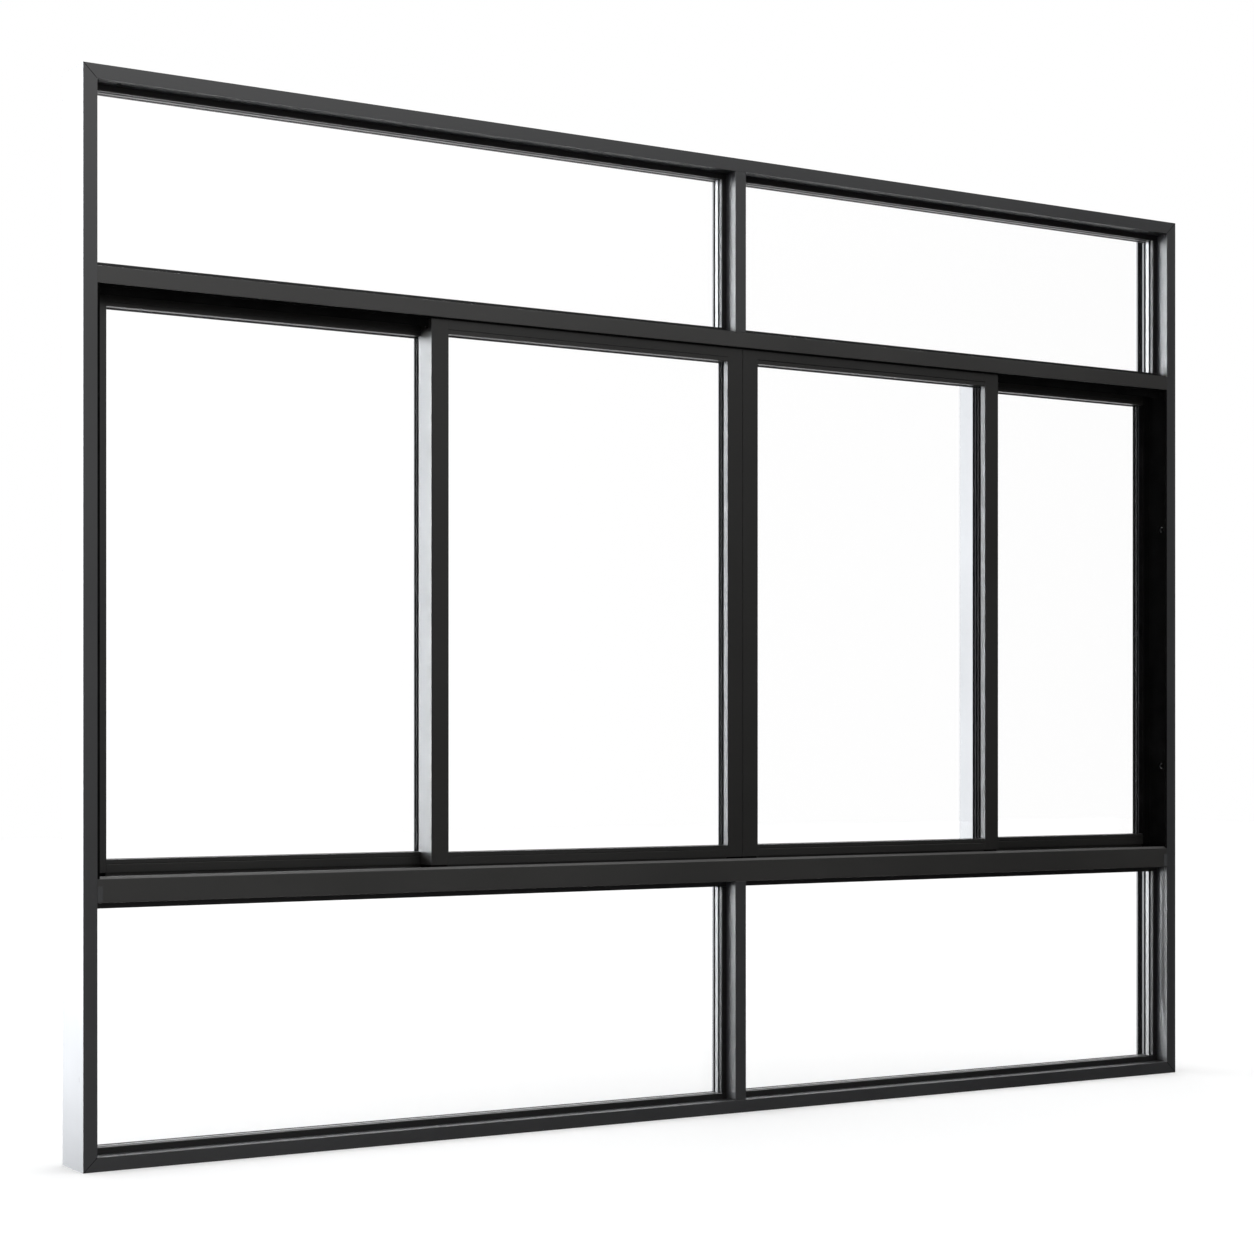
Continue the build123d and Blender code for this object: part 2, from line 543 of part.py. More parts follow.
def carriages(sash):
    """Two roller carriages under the bottom rail, and their wheels."""
    centre = sash["d"] + SASH_THICKNESS / 2
    roof = SASH_BOTTOM + CARRIAGE_CHANNEL_DEPTH
    axle_height = RAIL_TOP + ROLLER_RADIUS
    bodies, wheels = [], []
    for x in (sash["x"][0] + CARRIAGE_INSET, sash["x"][1] - CARRIAGE_INSET):
        half, pocket = CARRIAGE_LENGTH / 2, WHEEL_POCKET / 2
        width, slot = CARRIAGE_WIDTH / 2, ROLLER_WIDTH / 2 + WHEEL_SIDE_GAP
        body = block(x - half, x + half, centre - width, centre + width, roof - CARRIAGE_HEIGHT, roof)
        body = fillet(body.edges().filter_by(Axis.Z), CARRIAGE_ROUNDING)
        body -= block(x - pocket, x + pocket, centre - slot, centre + slot, roof - CARRIAGE_HEIGHT, roof)
        body += Pos(x, centre, axle_height) * Rot(90, 0, 0) * Cylinder(AXLE_RADIUS, 2 * slot + WALL)
        bodies.append(body)
        wheels.append(Pos(x, centre, axle_height) * Rot(90, 0, 0) * roller())
    return bodies, wheels


def build():
    """Every node's name and its solid or solids."""
    nodes = {
        "frame_head": [frame_rail(top=True)],
        "frame_sill": [frame_rail(top=False)],
        "frame_jamb_left": [frame_jamb(right=False)],
        "frame_jamb_right": [frame_jamb(right=True)],
        "transom_upper": [upper_transom()],
        "transom_lower": [lower_transom()],
        "mullion_upper": [mullion((UPPER_TRANSOM_TOP, FRAME_HEIGHT - FACE),
                                  (UPPER_TRANSOM_TOP - TRANSOM_STEP, FRAME_HEIGHT - WEB))],
        "mullion_lower": [mullion((FACE, LOWER_TRANSOM_BOTTOM),
                                  (WEB, LOWER_TRANSOM_BOTTOM + TRANSOM_STEP))],
        "track_jamb_left": [track_jamb(right=False)],
        "track_jamb_right": [track_jamb(right=True)],
        "fixed_spacers": [], "fixed_gaskets": [], "sash_spacers": [], "sash_gaskets": [],
        "roller_carriages": [], "roller_wheels": [],
    }
    for light in fixed_lights():
        row, column = light["row"], light["column"]
        nodes.setdefault(f"glazing_rails_{row}", []).extend(glazing_rail(light, high) for high in (False, True))
        nodes.setdefault(f"glazing_posts_{row}", []).extend(glazing_post(light, side) for side in (False, True))
        nodes.setdefault(f"bead_rails_{row}", []).extend(bead_rail(light, high) for high in (False, True))
        nodes.setdefault(f"bead_posts_{row}", []).extend(bead_post(light, side) for side in (False, True))
        sight_x = (light["x"][0] + BEAD_WIDTH, light["x"][1] - BEAD_WIDTH)
        sight_z = (light["z"][0] + BEAD_WIDTH, light["z"][1] - BEAD_WIDTH)
        panes, spacer, gaskets = double_glazing(sight_x, sight_z, GLASS_EDGE_COVER, FIXED_GLASS_FRONT,
                                                FIXED_PANE_GAP)
        nodes[f"glass_{row}_{column}"] = panes
        nodes["fixed_spacers"].append(spacer)
        nodes["fixed_gaskets"].extend(gaskets)
    for sash in sashes():
        name, (x0, x1) = sash["name"], sash["x"]
        for right, side in enumerate(("left", "right")):
            nodes[f"{name}_stile_{side}"] = [stile(sash, right)]
        nodes[f"{name}_rails"] = [top_rail(sash, x0 + STILE, x1 - STILE), bottom_rail(sash, x0 + STILE, x1 - STILE)]
        panes, spacer, gaskets = double_glazing((x0 + STILE, x1 - STILE), (SIGHT_BOTTOM, SIGHT_TOP),
                                                SASH_GLASS_COVER, sash["d"] + SASH_GLASS_START, SASH_PANE_GAP)
        nodes[f"{name}_glass"] = panes
        nodes["sash_spacers"].append(spacer)
        nodes["sash_gaskets"].extend(gaskets)
        bodies, wheels = carriages(sash)
        nodes["roller_carriages"].extend(bodies)
        nodes["roller_wheels"].extend(wheels)
    return nodes


os.makedirs("parts", exist_ok=True)
for node, shapes in build().items():
    solids = [solid for shape in shapes for solid in (TO_ORIGIN * shape).solids()]
    whole = solids[0] if len(solids) == 1 else Compound(children=solids)
    export_step(whole, f"parts/{node}.step")
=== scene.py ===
"""Looks for the black aluminium sliding window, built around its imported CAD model.

Every length here is in metres, in the model's own frame: the origin is the middle of
the sill's underside, +X runs to the right of the front face, +Y to the back, +Z up.
"""

import json
import math

import bmesh
import bpy
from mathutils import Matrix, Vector


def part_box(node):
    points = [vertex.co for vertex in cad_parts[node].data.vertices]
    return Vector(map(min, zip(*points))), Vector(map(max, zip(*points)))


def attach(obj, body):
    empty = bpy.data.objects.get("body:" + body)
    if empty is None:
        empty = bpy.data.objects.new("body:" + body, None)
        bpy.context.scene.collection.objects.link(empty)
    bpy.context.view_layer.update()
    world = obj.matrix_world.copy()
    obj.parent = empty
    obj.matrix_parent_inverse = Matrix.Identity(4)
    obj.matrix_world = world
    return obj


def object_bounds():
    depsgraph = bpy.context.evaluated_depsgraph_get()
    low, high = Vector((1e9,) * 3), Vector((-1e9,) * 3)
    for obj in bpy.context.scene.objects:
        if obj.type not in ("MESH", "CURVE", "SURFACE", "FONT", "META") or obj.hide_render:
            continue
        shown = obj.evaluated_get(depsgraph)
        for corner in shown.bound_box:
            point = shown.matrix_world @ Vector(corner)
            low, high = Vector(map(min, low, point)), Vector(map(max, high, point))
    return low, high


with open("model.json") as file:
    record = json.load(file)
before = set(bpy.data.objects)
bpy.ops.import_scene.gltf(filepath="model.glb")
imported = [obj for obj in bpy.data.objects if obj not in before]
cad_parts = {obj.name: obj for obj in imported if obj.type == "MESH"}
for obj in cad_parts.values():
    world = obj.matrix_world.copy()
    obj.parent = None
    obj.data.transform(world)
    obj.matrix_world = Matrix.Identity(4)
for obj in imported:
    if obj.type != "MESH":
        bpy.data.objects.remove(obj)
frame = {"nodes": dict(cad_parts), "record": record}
cad_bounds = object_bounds()
nodes = frame["nodes"]
scene = bpy.context.scene
WINDOW_LOW, WINDOW_HIGH = cad_bounds

# Camera, solved from the photograph's converging edges
PHOTO_PIXELS = 1254           # width and height of the picture
CAMERA_PLACE = (-2.5865, -3.9715, 0.6934)
CAMERA_TURN = 31.685          # degrees from +Y towards +X, with the camera held level
FOCAL_PIXELS = 2512.3
HORIZON_PIXEL = 745.3         # row of the horizon, counted from the top
SENSOR = 36.0                 # millimetres
VIEW_REACH = 100.0            # how far the camera sees

# Floor
FLOOR_REACH = 14.0            # from the window to the floor's sides
FLOOR_GREY = (0.96, 0.96, 0.96, 1.0)
FLOOR_ROUGHNESS = 0.9
FLOOR_LIFT = 0.1              # brings the pale floor up to the white background
WHITE = (1.0, 1.0, 1.0, 1.0)

# Surroundings that gloss sees. Ranges are parts of a ray's direction along X, Y or Z.
ROOM_SIDE = (0.3, 0.6)        # X, from the left to the right of the room in front
ROOM_EYE_LEVEL = (0.36, 0.0)  # brightness at the left and the right
ROOM_LOW_LEVEL = (0.3, 0.05)
ROOM_HIGH_LEVEL = (2.4, 0.85)
ROOM_LOW_HEIGHT = (-0.12, 0.0)     # Z, from the low part to eye level
ROOM_HEIGHT = (0.16, 0.4)          # Z, from eye level to the bright ceiling
ROOM_TO_REAR = (-0.15, 0.25)       # Y
REAR_GLOSS_LEVEL = 0.3             # what the rear faces reflect
REAR_LEVEL = 1.05                  # seen through the glass, makes up for what it takes
REAR_LOW_LEVEL = 8.0               # low behind the window, for the undersides
REAR_LOW_HEIGHT = (-0.9, -0.4)     # Z
COOL_WHITE = (0.93, 0.96, 1.0)
PALE_COOL_WHITE = (0.95, 0.97, 1.0)

# Edges of the extrusions
EDGE_RADIUS = 0.0007
EDGE_STEPS = 2
SHARP_EDGE = 40.0             # degrees from which an edge is rounded
FLAT_EDGE = 1.0               # degrees under which two faces become one
WELD_DISTANCE = 1e-5

# Sizes of the solids that the small pieces fit to
FRAME_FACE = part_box("frame_head")[1].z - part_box("frame_head")[0].z
STILE = 0.034
SKIRT = 0.003                 # wall of the sash's bottom channel
SKIRT_INSET = 0.004           # from the sash's face to the skirt
TRANSOM_WALL = 0.0025
REAR_LIP = 0.004
FIN_REACH = 0.014             # guide fins under the upper transom
HOLES_PER_SIDE = 4
HOLE_DEPTH = 0.015            # behind the front face
HEAD_HOLE_INSET = 0.066
JAMB_HOLE_INSET = 0.15

# Small pieces
BLOCK_ROUNDING = 0.2          # share of a block's shortest side
SEAT_GAP = 0.0001             # to the face that a piece lies on
END_GAP = 0.0005              # to what a piece ends at
STRIP_THICKNESS = 0.0015
FIN_TO_STRIP = 0.003          # middle of a fin to the strips beside it
FIN_TO_FIN_STRIP = 0.0016
FIN_STRIP_THICKNESS = 0.0013
PLUG_RADIUS = 0.0044
CHAMBER_PLUG_RADIUS = 0.0069
CHAMBER_PLUG_INSET = 0.008    # from the window's side
PLUG_HEIGHT = 0.0015
PLUG_TAPER = 0.97             # share of the radius that its outer end has
PLUG_SIDES = 32
SEAM_WIDTH = 0.0008
SEAM_PROUD = 0.00015
SEAM_SHORTER = 0.0015         # than the mitre
LIP_CAP_WIDTH = 0.009
LIP_CAP_PROUD = 0.0008
LIP_CAP_FOOT = 0.001          # above the transom's underside
BLOCK_TO_STILE = 0.0002


# Small helpers for node trees

def new_material(name):
    material = bpy.data.materials.new(name)
    material.use_nodes = True
    tree = material.node_tree
    return material, tree, tree.nodes["Principled BSDF"]


def put(tree, socket, value):
    """Links a socket to another node's output, or sets it to a number."""
    if isinstance(value, bpy.types.NodeSocket):
        tree.links.new(value, socket)
    else:
        socket.default_value = value


def add(tree, kind, **inputs):
    node = tree.nodes.new(kind)
    for name, value in inputs.items():
        put(tree, node.inputs[name], value)
    return node


def calculate(tree, operation, first, second):
    node = tree.nodes.new("ShaderNodeMath")
    node.operation = operation
    put(tree, node.inputs[0], first)
    put(tree, node.inputs[1], second)
    return node.outputs[0]


def choose(tree, switch, off, on):
    """One value where the switch is 0 and another where it is 1."""
    node = tree.nodes.new("ShaderNodeMix")
    put(tree, node.inputs["Factor"], switch)
    put(tree, node.inputs[2], off)
    put(tree, node.inputs[3], on)
    return node.outputs[0]


def between(tree, source, low, high, at_low, at_high):
    """Goes smoothly from at_low to at_high while the source goes from low to high."""
    node = tree.nodes.new("ShaderNodeMapRange")
    node.interpolation_type = "SMOOTHSTEP"
    ends = (("From Min", low), ("From Max", high), ("To Min", at_low), ("To Max", at_high))
    for name, value in (("Value", source), *ends):
        put(tree, node.inputs[name], value)
    return node.outputs["Result"]


def object_coordinates(tree, scale=(1.0, 1.0, 1.0)):
    place = tree.nodes.new("ShaderNodeTexCoord").outputs["Object"]
    return add(tree, "ShaderNodeMapping", Vector=place, Scale=scale).outputs["Vector"]


def noise(tree, vector, scale, detail=3.0):
    node = add(tree, "ShaderNodeTexNoise", Vector=vector, Scale=scale, Detail=detail, Roughness=0.55)
    return node.outputs["Fac"]


def vary(tree, shader, name, pattern, low, high, start=0.3, end=0.7):
    """Lets a value of the shader, a grey or a colour, follow a pattern from low to high."""
    node = add(tree, "ShaderNodeValToRGB", Fac=pattern)
    for element, position, value in zip(node.color_ramp.elements, (start, end), (low, high)):
        element.position = position
        element.color = (*value, 1.0) if isinstance(value, tuple) else (value, value, value, 1.0)
    tree.links.new(node.outputs["Color"], shader.inputs[name])


def bump(tree, shader, height, strength, distance):
    node = add(tree, "ShaderNodeBump", Height=height, Strength=strength, Distance=distance)
    tree.links.new(node.outputs["Normal"], shader.inputs["Normal"])


# Materials

def coating_material(name, gloss_index, tone):
    """Satin black powder coat: fine orange peel, faintly uneven shade and gloss."""
    material, tree, shader = new_material(name)
    place = object_coordinates(tree)
    cloud = noise(tree, place, 3.0, detail=4.0)
    grain = noise(tree, place, 420.0, detail=2.0)
    darker = tuple(0.8 * level for level in tone)
    vary(tree, shader, "Base Color", cloud, darker, tone, start=0.35)
    vary(tree, shader, "Roughness", cloud, 0.36, 0.42)
    shader.inputs["IOR"].default_value = gloss_index
    bump(tree, shader, grain, 0.03, 0.0001)
    return material


def lining_and_painted_shade_material():
    """Dull black liner of the sash channels, which takes almost no gloss; on the track jambs, sash 4's
    right stile and the strips under the upper transom it is painted shade.
    """
    material, tree, shader = new_material("matte_black_lining_and_painted_shade")
    cloud = noise(tree, object_coordinates(tree), 25.0)
    fibre = noise(tree, object_coordinates(tree, (1.0, 1.0, 0.2)), 900.0, detail=2.0)
    vary(tree, shader, "Base Color", cloud, 0.002, 0.004)
    vary(tree, shader, "Roughness", fibre, 0.8, 0.95)
    shader.inputs["Specular IOR Level"].default_value = 0.0
    bump(tree, shader, fibre, 0.3, 0.0003)
    return material


def glass_material():
    """Clear glass that lets lamp light and bounced light straight through."""
    material, tree, shader = new_material("clear_float_glass")
    shader.inputs["Base Color"].default_value = WHITE
    shader.inputs["Transmission Weight"].default_value = 1.0
    shader.inputs["Roughness"].default_value = 0.0
    shader.inputs["IOR"].default_value = 1.25
    rays = tree.nodes.new("ShaderNodeLightPath")
    straight = calculate(tree, "MAXIMUM", rays.outputs["Is Shadow Ray"], rays.outputs["Is Diffuse Ray"])
    clear = tree.nodes.new("ShaderNodeBsdfTransparent")
    mix = tree.nodes.new("ShaderNodeMixShader")
    tree.links.new(straight, mix.inputs[0])
    tree.links.new(shader.outputs[0], mix.inputs[1])
    tree.links.new(clear.outputs[0], mix.inputs[2])
    tree.links.new(mix.outputs[0], tree.nodes["Material Output"].inputs["Surface"])
    return material


def rubber_material():
    """Black gasket rubber with a dry, fine-grained skin."""
    material, tree, shader = new_material("gasket_rubber")
    grain = noise(tree, object_coordinates(tree), 260.0)
    vary(tree, shader, "Base Color", grain, 0.006, 0.012)
    vary(tree, shader, "Roughness", grain, 0.7, 0.85)
    shader.inputs["Specular IOR Level"].default_value = 0.1
    bump(tree, shader, grain, 0.08, 0.0001)
    return material


def spacer_material():
    """Mill-finish aluminium with fine lines drawn along the bar."""
    material, tree, shader = new_material("spacer_aluminium")
    lines = noise(tree, object_coordinates(tree, (0.2, 900.0, 0.2)), 1.0, detail=2.0)
    vary(tree, shader, "Base Color", lines, 0.16, 0.24)
    vary(tree, shader, "Roughness", lines, 0.42, 0.5)
    shader.inputs["Metallic"].default_value = 1.0
    return material


def nylon_material():
    """Cream nylon of the roller wheels, faintly mottled."""
    material, tree, shader = new_material("roller_nylon")
    mottle = noise(tree, object_coordinates(tree), 180.0)
    vary(tree, shader, "Base Color", mottle, (0.66, 0.65, 0.61), (0.74, 0.73, 0.69))
    shader.inputs["Roughness"].default_value = 0.42
    shader.inputs["Subsurface Weight"].default_value = 0.05
    bump(tree, shader, mottle, 0.1, 0.0002)
    return material


def zinc_material():
    """Zinc-plated steel of the roller carriages, with its spangle."""
    material, tree, shader = new_material("zinc_plated_steel")
    spangle = noise(tree, object_coordinates(tree), 90.0, detail=4.0)
    vary(tree, shader, "Base Color", spangle, (0.4, 0.41, 0.43), (0.58, 0.59, 0.6))
    vary(tree, shader, "Roughness", spangle, 0.28, 0.45)
    shader.inputs["Metallic"].default_value = 1.0
    bump(tree, shader, spangle, 0.1, 0.0002)
    return material


coating = coating_material("black_powder_coat", 1.75, (0.0105, 0.011, 0.0125))
# Painted shade: a darker, browner copy of the coat for the transoms.
transom_coating_painted_shade = coating_material("black_powder_coat_transoms_painted_shade", 1.7, (0.01, 0.0094, 0.0084))
# Painted shade: a darker, less glossy copy of the coat for the sashes, set back in the frame.
sash_coating_painted_shade = coating_material("black_powder_coat_sashes_painted_shade", 1.56, (0.005, 0.0046, 0.004))
cap_nylon = coating_material("black_grey_nylon", 1.6, (0.03, 0.031, 0.033))
# Painted reflection: a more reflective copy of the coat for sash 4's left stile.
painted_reflection_coating = coating_material("black_powder_coat_painted_reflection", 2.1, (0.006, 0.0056, 0.005))
# Painted shade: a darker, less glossy copy of the coat for the glazing beads.
bead_coating_painted_shade = coating_material("black_powder_coat_beads_painted_shade", 1.45, (0.003, 0.003, 0.0032))
finishes = {
    "black_coating": coating,
    "clear_glass": glass_material(),
    "gasket_rubber": rubber_material(),
    "spacer_bar": spacer_material(),
    "roller_nylon": nylon_material(),
    "carriage_steel": zinc_material(),
}
lining_and_painted_shade = lining_and_painted_shade_material()
own_finish = {
    # Painted shade: the track jambs and sash 4's right stile take the dull black liner, which darkens the
    # recesses beside the sashes.
    "track_jamb_left": lining_and_painted_shade,
    "track_jamb_right": lining_and_painted_shade,
    "sash_4_stile_right": lining_and_painted_shade,
    # Sash 4's left stile takes the more reflective copy of the coat as a painted reflection.
    "sash_4_stile_left": painted_reflection_coating,
    # The transoms take the painted-shade copy of the coat.
    "transom_upper": transom_coating_painted_shade,
    "transom_lower": transom_coating_painted_shade,
    "sash_spacers": finishes["gasket_rubber"],
}
# The glazing beads take the darker copy of the coat as painted shade.
for level in ("top", "bottom"):
    own_finish[f"bead_rails_{level}"] = bead_coating_painted_shade
    own_finish[f"bead_posts_{level}"] = bead_coating_painted_shade
# The sashes take the darker copy of the coat as painted shade.
for sash in range(1, 5):
    for member in ("rails", "stile_left", "stile_right"):
        own_finish.setdefault(f"sash_{sash}_{member}", sash_coating_painted_shade)


def round_edges(piece):
    """Rounds the corners of an extrusion, so that they catch the light."""
    weld = piece.modifiers.new("join_corners", "WELD")
    weld.merge_threshold = WELD_DISTANCE
    flatten = piece.modifiers.new("join_flat_faces", "DECIMATE")
    flatten.decimate_type = "DISSOLVE"
    flatten.angle_limit = math.radians(FLAT_EDGE)
    bevel = piece.modifiers.new("edge_radius", "BEVEL")
    bevel.width = EDGE_RADIUS
    bevel.segments = EDGE_STEPS
    bevel.limit_method = "ANGLE"
    bevel.angle_limit = math.radians(SHARP_EDGE)
    bevel.harden_normals = True


for part in frame["record"]["subparts"]:
    name, slot = part["node"], part["material_slot"]
    nodes[name].data.materials.clear()
    nodes[name].data.materials.append(own_finish.get(name, finishes[slot]))
    if slot == "black_coating":
        round_edges(nodes[name])


# Small pieces that the solids leave out

def add_piece(name, shape, material, place=(0, 0, 0), turn=(0, 0, 0)):
    """Makes a piece of the window from a bmesh and puts it in its place."""
    mesh = bpy.data.meshes.new(name)
    shape.to_mesh(mesh)
    shape.free()
    mesh.materials.append(material)
    piece = bpy.data.objects.new(name, mesh)
    piece.location = place
    piece.rotation_euler = turn
    scene.collection.objects.link(piece)
    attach(piece, "root")


def block_shape(low, high):
    """A block with rounded edges between two corners."""
    shape = bmesh.new()
    bmesh.ops.create_cube(shape, size=1.0)
    low, high = Vector(low), Vector(high)
    for vertex in shape.verts:
        vertex.co = Vector((l + (h - l) * (c + 0.5) for l, h, c in zip(low, high, vertex.co)))
    reach = min(high - low) * BLOCK_ROUNDING
    bmesh.ops.bevel(shape, geom=list(shape.edges), offset=reach, segments=EDGE_STEPS, affect="EDGES")
    return shape


def add_plug(name, mouth, axis, radius=PLUG_RADIUS, material=coating):
    """A plug with a chamfered edge, which fills the mouth of a hole in a face."""
    shape = bmesh.new()
    bmesh.ops.create_cone(shape, cap_ends=True, segments=PLUG_SIDES, radius1=radius,
                          radius2=radius * PLUG_TAPER, depth=PLUG_HEIGHT)
    axis = Vector(axis)
    add_piece(name, shape, material, Vector(mouth) - axis * (PLUG_HEIGHT / 2 + SEAT_GAP),
              axis.to_track_quat("Z", "Y").to_euler())


def add_painted_shade_strips():
    """Dark strips along the guide channel under the upper transom and beside its fins: painted shade in
    that recess.
    """
    front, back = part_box("transom_upper")[0].y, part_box("transom_upper")[1].y
    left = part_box("track_jamb_left")[1].x + END_GAP
    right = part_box("track_jamb_right")[0].x - END_GAP
    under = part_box("track_jamb_left")[1].z
    top = under - SEAT_GAP
    front_fin, rear_fin = (sum(corner.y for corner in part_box(rails)) / 2
                           for rails in ("sash_2_rails", "sash_1_rails"))
    strips = (("front", front + TRANSOM_WALL + END_GAP, front_fin - FIN_TO_STRIP),
              ("middle", front_fin + FIN_TO_STRIP, rear_fin - FIN_TO_STRIP),
              ("rear", rear_fin + FIN_TO_STRIP, back - REAR_LIP - END_GAP))
    for name, near, far in strips:
        shape = block_shape((left, near, top - STRIP_THICKNESS), (right, far, top))
        add_piece(f"painted_shade_strip_{name}", shape, lining_and_painted_shade)
    for name, fin in (("front_fin", front_fin), ("rear_fin", rear_fin)):
        far = fin - FIN_TO_FIN_STRIP
        shape = block_shape((left, far - FIN_STRIP_THICKNESS, under - FIN_REACH - END_GAP),
                            (right, far, top))
        add_piece(f"painted_shade_strip_{name}", shape, lining_and_painted_shade)


def hole_places(low, high, inset):
    """Evenly spaced places of the fixing holes along a member."""
    step = (high - low - 2 * inset) / (HOLES_PER_SIDE - 1)
    return [low + inset + step * number for number in range(HOLES_PER_SIDE)]


def add_side_plugs(name, inset, outwards, heights, **finish):
    """Plugs in both uprights, inset from the window's sides, that face in or out."""
    for side, edge, inward in (("left", WINDOW_LOW.x, 1), ("right", WINDOW_HIGH.x, -1)):
        axis = (-inward if outwards else inward, 0, 0)
        for number, z in enumerate(heights):
            mouth = (edge + inward * inset, WINDOW_LOW.y + HOLE_DEPTH, z)
            add_plug(f"{name}_{side}_{number}", mouth, axis, **finish)


def add_hole_plugs():
    """Plugs in the fixing holes, apart from the open one at the head's left end.

    Behind the clearance holes in the track jambs the plugs are in the jambs' chambers.
    """
    places = hole_places(WINDOW_LOW.x, WINDOW_HIGH.x, HEAD_HOLE_INSET)
    for number, x in enumerate(places[1:]):
        mouth = (x, WINDOW_LOW.y + HOLE_DEPTH, WINDOW_HIGH.z - FRAME_FACE)
        add_plug(f"head_plug_{number}", mouth, (0, 0, -1))
    heights = hole_places(WINDOW_LOW.z, WINDOW_HIGH.z, JAMB_HOLE_INSET)
    add_side_plugs("jamb_plug", FRAME_FACE, False, (heights[0], heights[-1]))
    add_side_plugs("track_plug", CHAMBER_PLUG_INSET, False, heights[1:-1],
                   radius=CHAMBER_PLUG_RADIUS, material=lining_and_painted_shade)
    add_side_plugs("outer_plug", 0.0, True, heights)


def add_mitre_seams():
    """Hairline joints where the head and the sill meet the jambs."""
    reach = (FRAME_FACE * math.sqrt(2) - SEAM_SHORTER) / 2
    half_face = FRAME_FACE / 2
    corners = ((WINDOW_LOW.x, WINDOW_HIGH.z, 1, -1), (WINDOW_HIGH.x, WINDOW_HIGH.z, -1, -1),
               (WINDOW_LOW.x, WINDOW_LOW.z, 1, 1), (WINDOW_HIGH.x, WINDOW_LOW.z, -1, 1))
    for number, (x, z, across, up) in enumerate(corners):
        shape = block_shape((-reach, -SEAM_PROUD, -SEAM_WIDTH / 2), (reach, 0, SEAM_WIDTH / 2))
        add_piece(f"mitre_seam_{number}", shape, lining_and_painted_shade,
                  (x + across * half_face, WINDOW_LOW.y, z + up * half_face),
                  (0, math.radians(-45 * across * up), 0))


def add_end_caps():
    """Small moulded caps that close the ends of the lower transom's front lip."""
    front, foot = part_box("transom_lower")[0].yz
    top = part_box("track_jamb_left")[0].z - TRANSOM_WALL
    left, right = WINDOW_LOW.x + FRAME_FACE, WINDOW_HIGH.x - FRAME_FACE
    for side, near, far in (("left", left, left + LIP_CAP_WIDTH), ("right", right - LIP_CAP_WIDTH, right)):
        shape = block_shape((near, front - LIP_CAP_PROUD, foot + LIP_CAP_FOOT),
                            (far, front + SEAT_GAP, top))
        add_piece(f"lip_cap_{side}", shape, cap_nylon)


def add_corner_blocks():
    """Moulded blocks under the stiles, which keep draughts out at the sash corners."""
    for sash in range(1, 5):
        rail_low, rail_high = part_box(f"sash_{sash}_rails")
        front, back = rail_low.y + SKIRT_INSET, rail_high.y - SKIRT_INSET
        for side in ("left", "right"):
            low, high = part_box(f"sash_{sash}_stile_{side}")
            right = min(high.x, low.x + STILE)
            for face, near, far in (("front", front, front + SKIRT), ("back", back - SKIRT, back)):
                shape = block_shape((low.x + END_GAP, near, rail_low.z + END_GAP),
                                    (right - END_GAP, far, low.z - BLOCK_TO_STILE))
                add_piece(f"corner_block_{sash}_{side}_{face}", shape, lining_and_painted_shade)


add_painted_shade_strips()
add_hole_plugs()
add_mitre_seams()
add_end_caps()
add_corner_blocks()


# Studio: pale floor, white surroundings and soft light

def add_floor():
    """A pale floor that gloss doesn't see, a little lifted where the camera sees it."""
    mesh = bpy.data.meshes.new("floor")
    r = FLOOR_REACH
    mesh.from_pydata([(-r, -r, 0), (r, -r, 0), (r, r, 0), (-r, r, 0)], [], [(0, 1, 2, 3)])
    floor = bpy.data.objects.new("floor", mesh)
    scene.collection.objects.link(floor)
    material, tree, shader = new_material("pale_floor")
    shader.inputs["Base Color"].default_value = FLOOR_GREY
    shader.inputs["Roughness"].default_value = FLOOR_ROUGHNESS
    shader.inputs["Emission Color"].default_value = WHITE
    rays = tree.nodes.new("ShaderNodeLightPath")
    seen = calculate(tree, "MAXIMUM", rays.outputs["Is Camera Ray"], rays.outputs["Is Transmission Ray"])
    lift = calculate(tree, "MULTIPLY", seen, FLOOR_LIFT)
    tree.links.new(lift, shader.inputs["Emission Strength"])
    mesh.materials.append(material)
    floor.visible_glossy = False


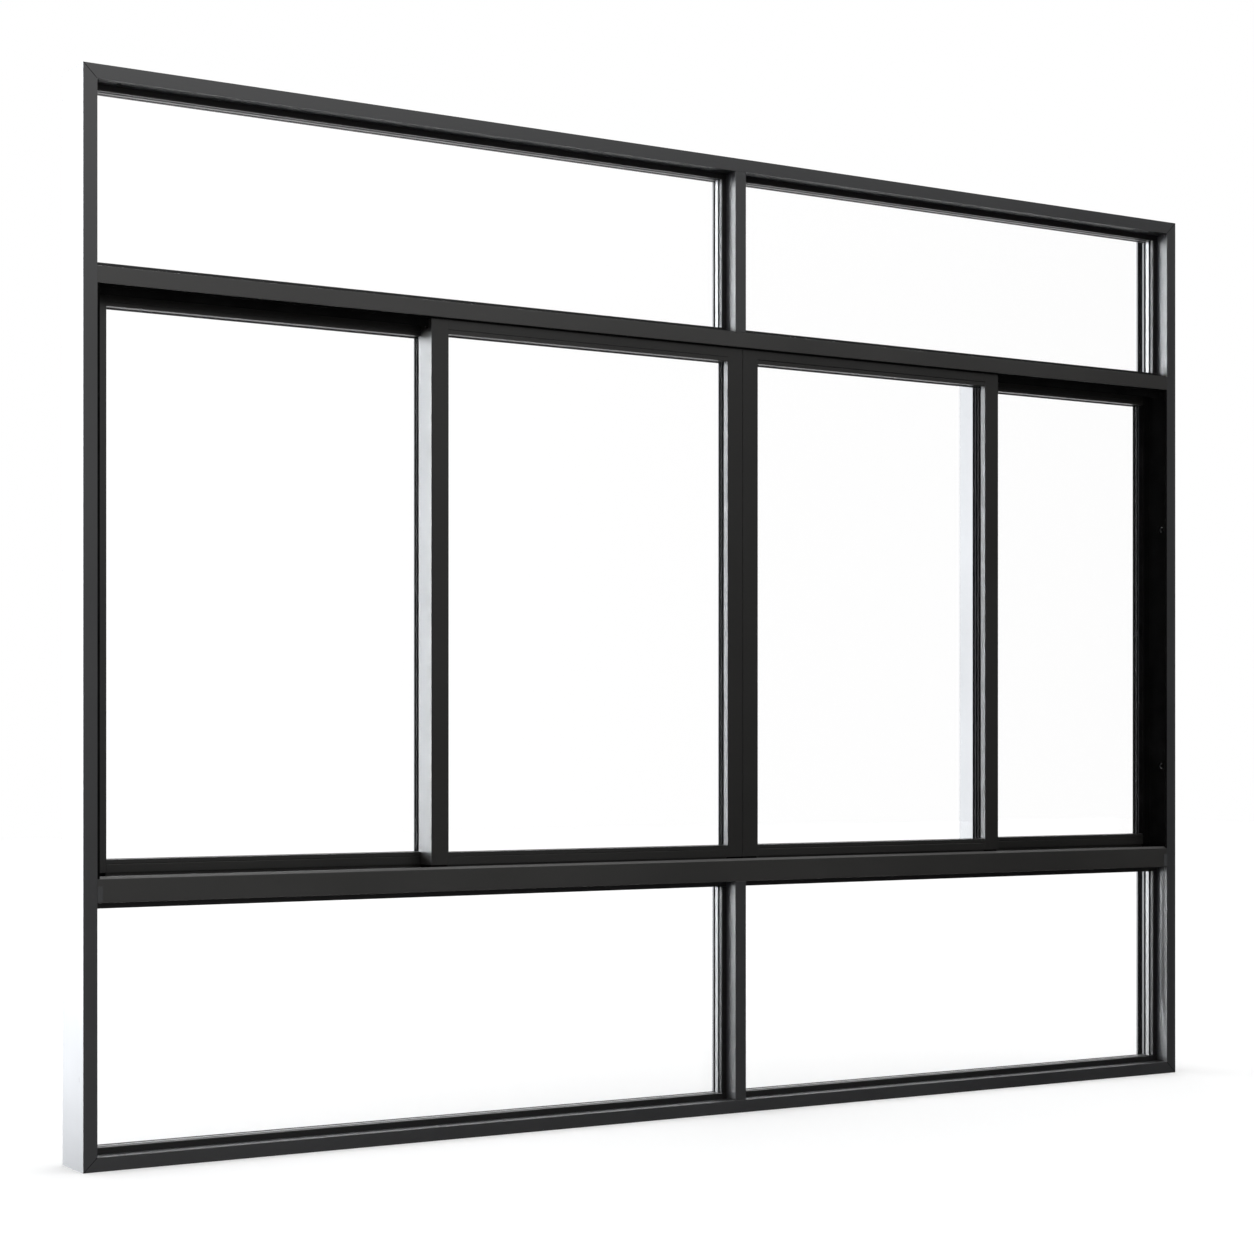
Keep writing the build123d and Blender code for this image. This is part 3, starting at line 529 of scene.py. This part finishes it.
def add_world():
    """White all round. Only gloss sees a dimmer room, brighter above, to the left and low behind."""
    world = bpy.data.worlds.new("studio")
    scene.world = world
    world.use_nodes = True
    tree = world.node_tree
    background = tree.nodes["Background"]
    background.inputs["Color"].default_value = WHITE
    direction = tree.nodes.new("ShaderNodeTexCoord").outputs["Generated"]
    x, y, z = add(tree, "ShaderNodeSeparateXYZ", Vector=direction).outputs
    eye_level = between(tree, x, *ROOM_SIDE, *ROOM_EYE_LEVEL)
    low_level = between(tree, x, *ROOM_SIDE, *ROOM_LOW_LEVEL)
    high_level = between(tree, x, *ROOM_SIDE, *ROOM_HIGH_LEVEL)
    lower = between(tree, z, *ROOM_LOW_HEIGHT, low_level, eye_level)
    room = between(tree, z, *ROOM_HEIGHT, lower, high_level)
    rays = tree.nodes.new("ShaderNodeLightPath")
    rear_level = choose(tree, rays.outputs["Is Transmission Ray"], REAR_GLOSS_LEVEL, REAR_LEVEL)
    rear = between(tree, z, *REAR_LOW_HEIGHT, REAR_LOW_LEVEL, rear_level)
    gloss = between(tree, y, *ROOM_TO_REAR, room, rear)
    level = choose(tree, rays.outputs["Is Glossy Ray"], 1.0, gloss)
    tree.links.new(level, background.inputs["Strength"])


def add_softbox(name, place, target, size, radiance, colour):
    """A large soft light that only gloss sees, so that it doesn't burn out the floor."""
    light = bpy.data.lights.new(name, "AREA")
    light.shape = "RECTANGLE"
    light.size, light.size_y = size
    light.energy = radiance * math.pi * size[0] * size[1]
    light.color = colour
    lamp = bpy.data.objects.new(name, light)
    lamp.location = place
    lamp.rotation_euler = (Vector(target) - Vector(place)).to_track_quat("-Z", "Y").to_euler()
    lamp.visible_camera = False
    lamp.visible_diffuse = False
    scene.collection.objects.link(lamp)


def add_camera():
    data = bpy.data.cameras.new("photo_camera")
    data.sensor_width = SENSOR
    data.lens = SENSOR * FOCAL_PIXELS / PHOTO_PIXELS
    data.shift_y = (HORIZON_PIXEL - PHOTO_PIXELS / 2) / PHOTO_PIXELS
    data.clip_end = VIEW_REACH
    camera = bpy.data.objects.new("photo_camera", data)
    camera.location = CAMERA_PLACE
    camera.rotation_euler = (math.radians(90), 0, math.radians(-CAMERA_TURN))
    scene.collection.objects.link(camera)
    scene.camera = camera


add_floor()
add_world()
add_softbox("left_rear_box", place=(-3.7, 5.6, 1.5), target=(0.0, 0.0, 1.5), size=(8.5, 5.0),
            radiance=7.5, colour=COOL_WHITE)
add_softbox("left_box", place=(-7.0, 1.9, 1.6), target=(0.0, 0.0, 1.6), size=(5.0, 2.6),
            radiance=4.0, colour=COOL_WHITE)
add_softbox("high_rear_box", place=(1.5, 6.0, 6.0), target=(0.0, 0.0, 0.8), size=(9.0, 5.0),
            radiance=2.0, colour=PALE_COOL_WHITE)
add_camera()
scene.view_settings.view_transform = "Standard"
